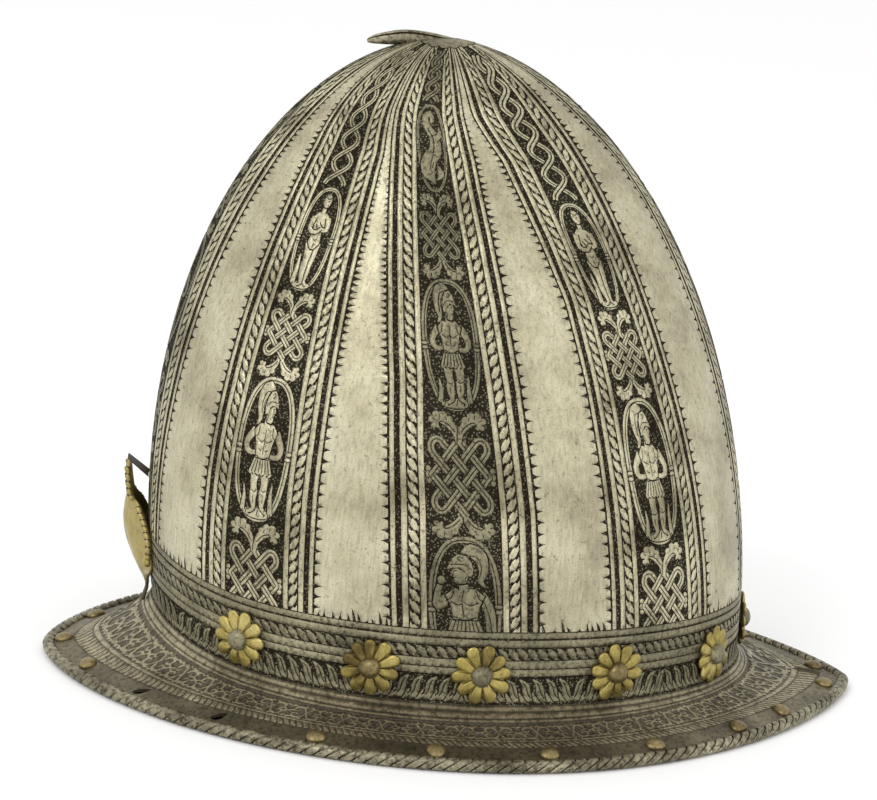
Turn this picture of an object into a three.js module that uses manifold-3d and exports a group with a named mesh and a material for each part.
// An Italian etched cabasset: an almond-shaped helmet raised from one sheet of steel, with a short
// stalk curled to the rear, a flat brim with a turned edge, brass rosettes round the base of the
// skull, brass rivets round the brim and a brass plume holder at the nape.
// Millimetres. +X is the front of the helmet, +Z is up, and the brim stands on z = 0.
import * as THREE from "three";
import { mergeVertices } from "three/addons/utils/BufferGeometryUtils.js";
import Module from "manifold-3d";

const wasm = await Module();
wasm.setup();

// Overall sizes
const brimLength = 326;
const brimWidth = 236;
const skullLength = 237;
const skullWidth = 187;
const apexHeight = 252;
const wall = 1.2;

// Skull: its widest line, and how it draws in, leans back and turns to a keel above that line
const widestHeight = 45;
const skullUpPower = 2.11;
const skullOutPower = 1.83;
const crownNarrowing = 0.36;
const crownNarrowingPower = 2.3;
const crownKeel = 0.13;
const crownKeelReach = 0.7;
const crownLean = 17.2;
const rootLean = 2.7;

// Brim: where it leaves the skull, its hollow slope, its pointed ends and its turned edge
const rootHeight = 16;
const rootTaper = 1.5;
const rearRise = 9;
const rearRisePower = 6;
const frontFall = 2.5;
const frontFallPower = 3;
const rootFillet = 6;
const brimSlopePower = 1.5;
const brimFrontPoint = 0.26;
const brimRearPoint = 0.14;
const edgeRadius = 2.3;
const grooveWidth = 7.2;

// Stalk
const stalkLength = 30.6;
const stalkDrop = 3.2;
const stalkRadius = 2.9;

// Fasteners and ornaments
const clearance = 0.3;
const shankRadius = 1.2;
const tailLength = 1;
const tailRadius = 2;
const rosetteRadius = 11.2;
const rosetteThickness = 1.5;
const rosetteRim = 0.5;
const rosetteShoulder = 0.6;
const rosetteValley = 0.8;
const rosettePetals = 10;
const rosetteHeight = 29.5;
const washerRadius = 8.6;
const washerThickness = 0.6;
const rosetteRivetRadius = 4.2;
const rosetteRivetHeight = 3.2;
const brimRivetRadius = 3.5;
const brimRivetHeight = 2;
const brimRivetLift = 0.5;

// Places round the helmet, in degrees from the middle of a side towards the front
const rosettePlaces = [-44, -17, 3, 29, 57];
const brimRivetPlaces = [-69, -22, -5, 11, 27.5, 44, 56, 78];
const emptyHolePlaces = [-53, -37.5];
const front = 90;
const rear = -90;

// Sections of the stalk from its root to its tip. back and drop: shares of its length and of its
// tip's drop, behind and below the apex; thick: share of its radius.
const stalkSections = [
  { back: -0.16, drop: 1, thick: 0.93 },
  { back: 0, drop: 0.75, thick: 1 },
  { back: 0.2, drop: 0.42, thick: 1 },
  { back: 0.4, drop: 0.23, thick: 0.97 },
  { back: 0.56, drop: 0.24, thick: 0.95 },
  { back: 0.7, drop: 0.44, thick: 0.9 },
  { back: 0.85, drop: 0.65, thick: 0.71 },
  { back: 0.95, drop: 0.86, thick: 0.46 },
  { back: 1, drop: 1, thick: 0.2 },
];

// Plume holder: a plate of brass that stands off the nape, gripped by a rivet in each ear
const plumeTop = 78.3;
const plumeHeight = 55.5;
const plumeDepth = 9.4;
const plumeHalfWidth = 17.5;
const plumePlate = 1;
const plumeLipHeight = 2.4;
const plumeLipDrop = 3.7;
const plumeEarReach = 14.5;
const plumeEarDown = 0.64;
const plumeRivetRadius = 2.7;
const plumeRivetHeight = 1.8;

// Sections of the plume holder from its top lobe to its tail. down: share of its height; bulge and
// edge: how far its middle and its sides stand off the skull, as shares of its depth; half: share of
// its half width; shoulder: how much of the way from edge to bulge it has risen a third of the way in.
const plumeSections = [
  { down: 0, bulge: 0.89, edge: 0.84, half: 0.26, shoulder: 0.75 },
  { down: 0.1, bulge: 0.87, edge: 0.78, half: 0.36, shoulder: 0.75 },
  { down: 0.21, bulge: 0.85, edge: 0.68, half: 0.38, shoulder: 0.75 },
  { down: 0.28, bulge: 0.93, edge: 0.32, half: 0.5, shoulder: 0.75 },
  { down: 0.38, bulge: 1, edge: 0.1, half: 0.7, shoulder: 0.6 },
  { down: 0.48, bulge: 0.96, edge: 0, half: 0.95, shoulder: 0.15 },
  { down: 0.56, bulge: 0.86, edge: 0, half: 1, shoulder: 0 },
  { down: 0.72, bulge: 0.55, edge: 0, half: 0.93, shoulder: 0 },
  { down: 0.79, bulge: 0.33, edge: 0.03, half: 0.5, shoulder: 0.5 },
  { down: 0.85, bulge: 0.17, edge: 0.1, half: 0.2, shoulder: 0.75 },
  { down: 0.9, bulge: 0.13, edge: 0.09, half: 0.15, shoulder: 0.75 },
  { down: 1, bulge: 0.42, edge: 0.36, half: 0.17, shoulder: 0.75 },
];

// Faceting
const stations = 52;
const crownRows = 11;
const filletRows = 2;
const brimRows = 2;
const edgeSides = 8;
const rivetSides = 8;
const holeSides = 6;
const stalkSides = 8;

const steel = new THREE.MeshStandardMaterial({ color: 0x9a968a, roughness: 0.42, metalness: 0.9 });
const darkSteel = new THREE.MeshStandardMaterial({ color: 0x37322b, roughness: 0.6, metalness: 0.8 });
const brass = new THREE.MeshStandardMaterial({ color: 0xb59a55, roughness: 0.35, metalness: 0.95 });

const helmet = new THREE.Group();
const up = new THREE.Vector3(0, 0, 1);
const { degToRad, lerp, smoothstep } = THREE.MathUtils;
const signedPower = (value, power) => Math.sign(value) * Math.abs(value) ** power;
const numbered = (name, index) => name + "_" + String(index + 1).padStart(2, "0");

function add(name, geometry, material) {
  const mesh = new THREE.Mesh(geometry, material);
  mesh.name = name;
  helmet.add(mesh);
  return mesh;
}

// Closed skins

function facesOf(points, faces) {
  const geometry = new THREE.BufferGeometry();
  const triangles = faces.flatMap((face) =>
    face.slice(2).map((corner, i) => [face[0], face[i + 1], corner]),
  );
  const numbers = triangles.flat().flatMap((i) => points[i].toArray());
  geometry.setAttribute("position", new THREE.Float32BufferAttribute(numbers, 3));
  return geometry;
}

// A skin over rings of points, closed by a pole at each end: the first and last ring hold one point.
function loft(rings) {
  const points = rings.flat();
  const starts = rings.map((_, i) => rings.slice(0, i).reduce((sum, ring) => sum + ring.length, 0));
  const faces = [];
  for (let r = 0; r + 1 < rings.length; r++) {
    const count = Math.max(rings[r].length, rings[r + 1].length);
    for (let i = 0; i < count; i++) {
      const next = (i + 1) % count;
      const near = [i, next].map((k) => starts[r] + (k % rings[r].length));
      const far = [i, next].map((k) => starts[r + 1] + (k % rings[r + 1].length));
      faces.push([...new Set([near[0], far[0], far[1], near[1]])]);
    }
  }
  return facesOf(points, faces);
}

// A plate between two grids of points of the same rows and columns.
function plate(face, back) {
  const rows = face.length;
  const columns = face[0].length;
  const points = [...face.flat(), ...back.flat()];
  const at = (side, r, c) => side * rows * columns + r * columns + c;
  const faces = [];
  for (let r = 0; r + 1 < rows; r++) {
    for (let c = 0; c + 1 < columns; c++) {
      faces.push([at(0, r, c), at(0, r + 1, c), at(0, r + 1, c + 1), at(0, r, c + 1)]);
      faces.push([at(1, r, c), at(1, r, c + 1), at(1, r + 1, c + 1), at(1, r + 1, c)]);
    }
    const last = columns - 1;
    faces.push([at(0, r, 0), at(1, r, 0), at(1, r + 1, 0), at(0, r + 1, 0)]);
    faces.push([at(0, r, last), at(0, r + 1, last), at(1, r + 1, last), at(1, r, last)]);
  }
  for (let c = 0; c + 1 < columns; c++) {
    const last = rows - 1;
    faces.push([at(0, 0, c), at(0, 0, c + 1), at(1, 0, c + 1), at(1, 0, c)]);
    faces.push([at(0, last, c), at(1, last, c), at(1, last, c + 1), at(0, last, c + 1)]);
  }
  return facesOf(points, faces);
}

// Joins and cuts

function solidOf(geometry) {
  const bare = new THREE.BufferGeometry().setAttribute(
    "position",
    (geometry.index ? geometry.toNonIndexed() : geometry).getAttribute("position"),
  );
  const merged = mergeVertices(bare, 1e-4);
  return new wasm.Manifold(
    new wasm.Mesh({
      numProp: 3,
      vertProperties: merged.attributes.position.array,
      triVerts: new Uint32Array(merged.index.array),
    }),
  );
}

function geometryOf(solid) {
  const mesh = solid.getMesh();
  const geometry = new THREE.BufferGeometry();
  geometry.setAttribute("position", new THREE.Float32BufferAttribute(mesh.vertProperties, 3));
  geometry.setIndex(new THREE.BufferAttribute(mesh.triVerts, 1));
  return geometry;
}

// The helmet's surface

// How far the lines round the base climb towards the nape and fall towards the brow.
function baseRise(angle) {
  const forward = Math.sin(angle);
  return forward < 0
    ? rearRise * (-forward) ** rearRisePower
    : -frontFall * forward ** frontFallPower;
}

const crownShare = (height) => Math.max(0, height - widestHeight) / (apexHeight - widestHeight);
const keelPower = (height) => 1 + 2 * crownKeel * smoothstep(crownShare(height), 0, crownKeelReach);

// A point on the outside of the skull, at an angle from the middle of the near side.
function skullPoint(angle, height) {
  const crown = crownShare(height);
  const base = Math.max(0, widestHeight - height) / (widestHeight - rootHeight);
  const out = (1 - crown ** skullUpPower) ** (1 / skullOutPower);
  const narrowing = 1 - crownNarrowing * crown ** crownNarrowingPower;
  const keel = keelPower(height);
  const lean = -rootLean - (crownLean * (height - rootHeight)) / (apexHeight - rootHeight);
  return new THREE.Vector3(
    lean + (skullLength / 2 - rootTaper * base) * out * Math.sin(angle),
    -(skullWidth / 2 - rootTaper * base) * out * narrowing * signedPower(Math.cos(angle), keel),
    height,
  );
}

// A point on the brim's outline, drawn in by an inset.
function outlinePoint(angle, inset) {
  const point = Math.sin(angle) > 0 ? brimFrontPoint : brimRearPoint;
  return new THREE.Vector3(
    (brimLength / 2 - inset) * Math.sin(angle),
    -(brimWidth / 2 - inset) * signedPower(Math.cos(angle), 1 + 2 * point),
    0,
  );
}

function outlineNormal(angle) {
  const step = 1e-3;
  const along = outlinePoint(angle + step, 0).sub(outlinePoint(angle - step, 0));
  return new THREE.Vector3(along.y, -along.x, 0).normalize();
}

const seamThickness = 2 * edgeRadius * Math.tan(Math.PI / edgeSides);

// A point on the turned edge, at a turn about its middle from straight out.
function edgePoint(angle, turn) {
  const reach = edgeRadius / Math.cos(Math.PI / edgeSides);
  return outlinePoint(angle, edgeRadius)
    .addScaledVector(outlineNormal(angle), reach * Math.cos(turn))
    .addScaledVector(up, edgeRadius + reach * Math.sin(turn));
}

// The brim's root on the skull and its seam with the turned edge.
const brimRoot = (angle) => skullPoint(angle, rootHeight).setZ(rootHeight + baseRise(angle));
const brimSeam = (angle) => edgePoint(angle, Math.PI - Math.PI / edgeSides);
const brimSpan = (angle) => brimSeam(angle).sub(brimRoot(angle)).setZ(0);
const grooveShare = (angle) => 1 - grooveWidth / brimSpan(angle).dot(outlineNormal(angle));
const filletShare = (angle) => rootFillet / brimSpan(angle).length();

function slopePoint(angle, share) {
  const root = brimRoot(angle);
  const seam = brimSeam(angle);
  const point = root.clone().lerp(seam, share);
  point.z = seam.z + (root.z - seam.z) * (1 - share) ** brimSlopePower;
  return point;
}

// A point on the top of the brim, at a share of the way from its root to its seam: a hollow slope,
// then the flat floor of the groove that the rivets stand in.
function brimPoint(angle, share) {
  const groove = grooveShare(angle);
  if (share <= groove) {
    return slopePoint(angle, share);
  }
  return slopePoint(angle, groove).lerp(brimSeam(angle), (share - groove) / (1 - groove));
}

// The hollow curve from the skull's wall, at 0, to the brim's slope, at 1.
function filletPoint(angle, share) {
  const height = rootHeight + baseRise(angle);
  const start = skullPoint(angle, height + rootFillet);
  const corner = skullPoint(angle, rootHeight).setZ(height);
  const end = brimPoint(angle, filletShare(angle));
  return start
    .multiplyScalar((1 - share) ** 2)
    .addScaledVector(corner, 2 * share * (1 - share))
    .addScaledVector(end, share ** 2);
}

// The outside of the skull and brim from just below the apex to the turned edge, row by row.
function outsidePoint(angle, row) {
  if (row <= crownRows) {
    const climb = (Math.PI / 2) * (1 - row / crownRows);
    const height = widestHeight + (apexHeight - widestHeight) * Math.sin(climb) ** (2 / skullUpPower);
    return skullPoint(angle, height);
  }
  const low = row - crownRows;
  if (low <= filletRows + 1) {
    return filletPoint(angle, (low - 1) / filletRows);
  }
  const slope = (low - filletRows - 1) / (brimRows - 1);
  return brimPoint(angle, slope > 1 ? 1 : lerp(filletShare(angle), grooveShare(angle), slope));
}

const outsideRows = crownRows + 1 + filletRows + brimRows;

// The outward direction square to the surface that a function of two values draws.
function squareTo(surface, angle, value, step) {
  const round = surface(angle + 1e-3, value).sub(surface(angle - 1e-3, value));
  const along = surface(angle, value + step).sub(surface(angle, value - step));
  return along.cross(round).normalize();
}

// Where something sits on a surface: a point and the direction out of it.
const onSkull = (angle, height) => ({
  point: skullPoint(angle, height),
  out: squareTo(skullPoint, angle, height, 0.01).negate(),
});
const inGroove = (angle) => {
  const share = (1 + grooveShare(angle)) / 2;
  return { point: brimPoint(angle, share), out: squareTo(brimPoint, angle, share, 1e-3) };
};

const stationAngles = Array.from({ length: stations }, (_, i) => (2 * Math.PI * i) / stations);

// The inside of the sheet, one wall in from the outside.
function insidePoint(angle, row) {
  const round = outsidePoint(angle + 1e-3, row).sub(outsidePoint(angle - 1e-3, row));
  const along = outsidePoint(angle, row + 1).sub(outsidePoint(angle, row - 1));
  return outsidePoint(angle, row).addScaledVector(along.cross(round).normalize(), -wall);
}

const ringOf = (place) => stationAngles.map(place);
const range = (count, start = 0) => Array.from({ length: count }, (_, i) => start + i);

// The sheet: outside from the apex down, round the turned edge, and up again inside.
function sheet() {
  const apex = skullPoint(0, apexHeight);
  const outside = range(outsideRows, 1).map((row) => ringOf((a) => outsidePoint(a, row)));
  const turns = range(edgeSides - 1, 1).map((i) => Math.PI - ((2 * i + 1) * Math.PI) / edgeSides);
  const edge = turns.map((turn) => ringOf((a) => edgePoint(a, turn)));
  const inside = range(outsideRows - 1, 1).map((row) => ringOf((a) => insidePoint(a, row)));
  const roof = apex.clone().addScaledVector(up, -wall);
  return loft([[apex], ...outside, ...edge, ...inside.reverse(), [roof]]);
}

// The stalk: a horn that springs from the ridge of the crown and curls to the rear.
function stalk() {
  const apex = skullPoint(0, apexHeight);
  const middles = stalkSections.map(
    ({ back, drop }) =>
      new THREE.Vector3(apex.x - back * stalkLength, 0, apex.z - drop * stalkDrop),
  );
  const across = new THREE.Vector3(0, 1, 0);
  const rings = stalkSections.map(({ thick }, i) => {
    const before = middles[Math.max(0, i - 1)];
    const after = middles[Math.min(middles.length - 1, i + 1)];
    const forward = after.clone().sub(before).normalize();
    const upright = across.clone().cross(forward);
    return range(stalkSides).map((k) => {
      const turn = (2 * Math.PI * k) / stalkSides;
      return middles[i]
        .clone()
        .addScaledVector(across, thick * stalkRadius * Math.cos(turn))
        .addScaledVector(upright, thick * stalkRadius * Math.sin(turn));
    });
  });
  return loft([[middles[0]], ...rings, [middles[middles.length - 1]]]);
}

// A frame on a surface: +Y points out of it, and an offset lifts the frame off it.
function frameAt(seat, offset = 0) {
  const turn = new THREE.Quaternion().setFromUnitVectors(new THREE.Vector3(0, 1, 0), seat.out);
  const place = seat.point.clone().addScaledVector(seat.out, offset);
  return new THREE.Matrix4().compose(place, turn, new THREE.Vector3(1, 1, 1));
}

function holeAt(seat) {
  const radius = (shankRadius + clearance) / Math.cos(Math.PI / holeSides);
  const cutter = new THREE.CylinderGeometry(radius, radius, 6 * wall, holeSides);
  return solidOf(cutter.applyMatrix4(frameAt(seat)));
}

// A lathe profile of [radius, height] pairs.
function turned(profile, sides) {
  return new THREE.LatheGeometry(
    profile.map(([radius, height]) => new THREE.Vector2(radius, height)),
    sides,
  );
}

// A rivet: a domed head above its seat, a shank through what it holds, and a tail spread inside.
function rivetGeometry(radius, height, grip) {
  const profile = [
    [0, -grip - tailLength],
    [tailRadius, -grip],
    [shankRadius, -grip],
    [shankRadius, 0],
    [radius, 0],
    [0.75 * radius, 0.7 * height],
    [0, height],
  ];
  return turned(profile, rivetSides);
}

// A rosette: petals that swell between a hole for the rivet and their tips, parted by valleys.
function rosetteGeometry() {
  const bore = shankRadius + clearance;
  const profile = [
    [bore, 0],
    [rosetteRadius, 0],
    [rosetteRadius, rosetteRim],
    [rosetteShoulder * rosetteRadius, rosetteThickness],
    [bore, rosetteThickness],
    [bore, 0],
  ];
  const geometry = turned(profile, 2 * rosettePetals);
  const position = geometry.getAttribute("position");
  for (let i = 0; i < position.count; i++) {
    const radius = Math.hypot(position.getX(i), position.getZ(i));
    const turn = Math.atan2(position.getX(i), position.getZ(i));
    const valley = (1 - Math.cos(rosettePetals * turn)) / 2;
    const reach = smoothstep(radius, bore, rosetteRadius);
    const draw = 1 - (1 - rosetteValley) * valley * reach;
    position.setX(i, position.getX(i) * draw);
    position.setZ(i, position.getZ(i) * draw);
  }
  return geometry;
}

function washerGeometry() {
  const bore = shankRadius + clearance;
  const profile = [
    [bore, 0],
    [washerRadius, 0],
    [washerRadius, washerThickness],
    [bore, washerThickness],
    [bore, 0],
  ];
  return turned(profile, rivetSides);
}

// The angle on the skull that lies a distance across from the nape's middle line.
function napeAngle(across, height) {
  const reach = Math.abs(across / skullPoint(0, height).y) ** (1 / keelPower(height));
  return across < 0 ? -Math.acos(reach) : Math.acos(reach) - Math.PI;
}

const plumeColumns = [3, 2, 1, 0, -1, -2, -3].map((step) => (plumeHalfWidth * step) / 3);

// A point behind the nape: across its middle line, at a height, and off the skull.
function behindNape(across, height, off) {
  const nape = skullPoint(napeAngle(across, height), height);
  return new THREE.Vector3(nape.x - off, across, height);
}

function plumeRow({ down, bulge, edge, half, shoulder }, depth) {
  const rises = [0, shoulder, lerp(shoulder, 1, 0.8), 1];
  const height = plumeTop - down * plumeHeight;
  const stand = (rise) => clearance + plumePlate + lerp(edge, bulge, rise) * (plumeDepth - plumePlate);
  return plumeColumns.map((across, column) => {
    const off = stand(rises[Math.min(column, 6 - column)]) - depth;
    return behindNape(half * across, height, off);
  });
}

// The holder's top is bent over into a lip that slants down to the skull.
function plumeLip(depth) {
  const { bulge, half } = plumeSections[0];
  const fold = clearance + plumePlate + bulge * (plumeDepth - plumePlate);
  const path = [
    [clearance, plumeTop - plumeLipDrop],
    [fold - depth, plumeTop + plumeLipHeight],
  ];
  return path.map(([off, height]) =>
    plumeColumns.map((across) => behindNape(half * across, height - depth, off)),
  );
}

function plumeHolder() {
  const face = (depth) => [...plumeLip(depth), ...plumeSections.map((section) => plumeRow(section, depth))];
  return plumeRivetSeats
    .map(holeAt)
    .reduce((holder, hole) => holder.subtract(hole), solidOf(plate(face(0), face(plumePlate))));
}

// Every seat round the helmet: the near side's places, the same on the far side, and extras
const bothSides = (places) => [...places, ...places.map((place) => 180 - place)];
const rosetteSeats = [...bothSides(rosettePlaces), front].map((place) => {
  const angle = degToRad(place);
  return onSkull(angle, rosetteHeight + baseRise(angle));
});
const filledHolePlaces = [rear, ...emptyHolePlaces.map((place) => 180 - place)];
const brimRivetSeats = [...bothSides(brimRivetPlaces), ...filledHolePlaces].map((place) =>
  inGroove(degToRad(place)),
);
const emptyHoleSeats = emptyHolePlaces.map((place) => inGroove(degToRad(place)));

const plumeRivetSeats = [-plumeEarReach, plumeEarReach].map((across) => {
  const height = plumeTop - plumeEarDown * plumeHeight;
  return onSkull(napeAngle(across, height), height);
});

const pierced = [...rosetteSeats, ...brimRivetSeats, ...emptyHoleSeats, ...plumeRivetSeats]
  .map(holeAt)
  .reduce((body, hole) => body.subtract(hole), solidOf(sheet()).add(solidOf(stalk())));
add("skull", geometryOf(pierced), steel);

const rosetteStack = 3 * clearance + washerThickness + rosetteThickness;
rosetteSeats.forEach((seat, i) => {
  const washer = add(numbered("rosette_washer", i), washerGeometry(), darkSteel);
  washer.applyMatrix4(frameAt(seat, clearance));
  const rosette = add(numbered("rosette", i), rosetteGeometry(), brass);
  rosette.applyMatrix4(frameAt(seat, 2 * clearance + washerThickness));
  const grip = rosetteStack + wall + clearance;
  const rivet = rivetGeometry(rosetteRivetRadius, rosetteRivetHeight, grip);
  add(numbered("rosette_rivet", i), rivet, brass).applyMatrix4(frameAt(seat, rosetteStack));
});
brimRivetSeats.forEach((seat, i) => {
  const grip = brimRivetLift + Math.max(wall, seamThickness) + clearance;
  const rivet = rivetGeometry(brimRivetRadius, brimRivetHeight, grip);
  add(numbered("brim_rivet", i), rivet, brass).applyMatrix4(frameAt(seat, brimRivetLift));
});

add("plume_holder", geometryOf(plumeHolder()), brass);
plumeRivetSeats.forEach((seat, i) => {
  const stand = 2 * clearance + plumePlate;
  const rivet = rivetGeometry(plumeRivetRadius, plumeRivetHeight, stand + wall + 2 * clearance);
  add(numbered("plume_rivet", i), rivet, brass).applyMatrix4(frameAt(seat, stand));
});

export default helmet;
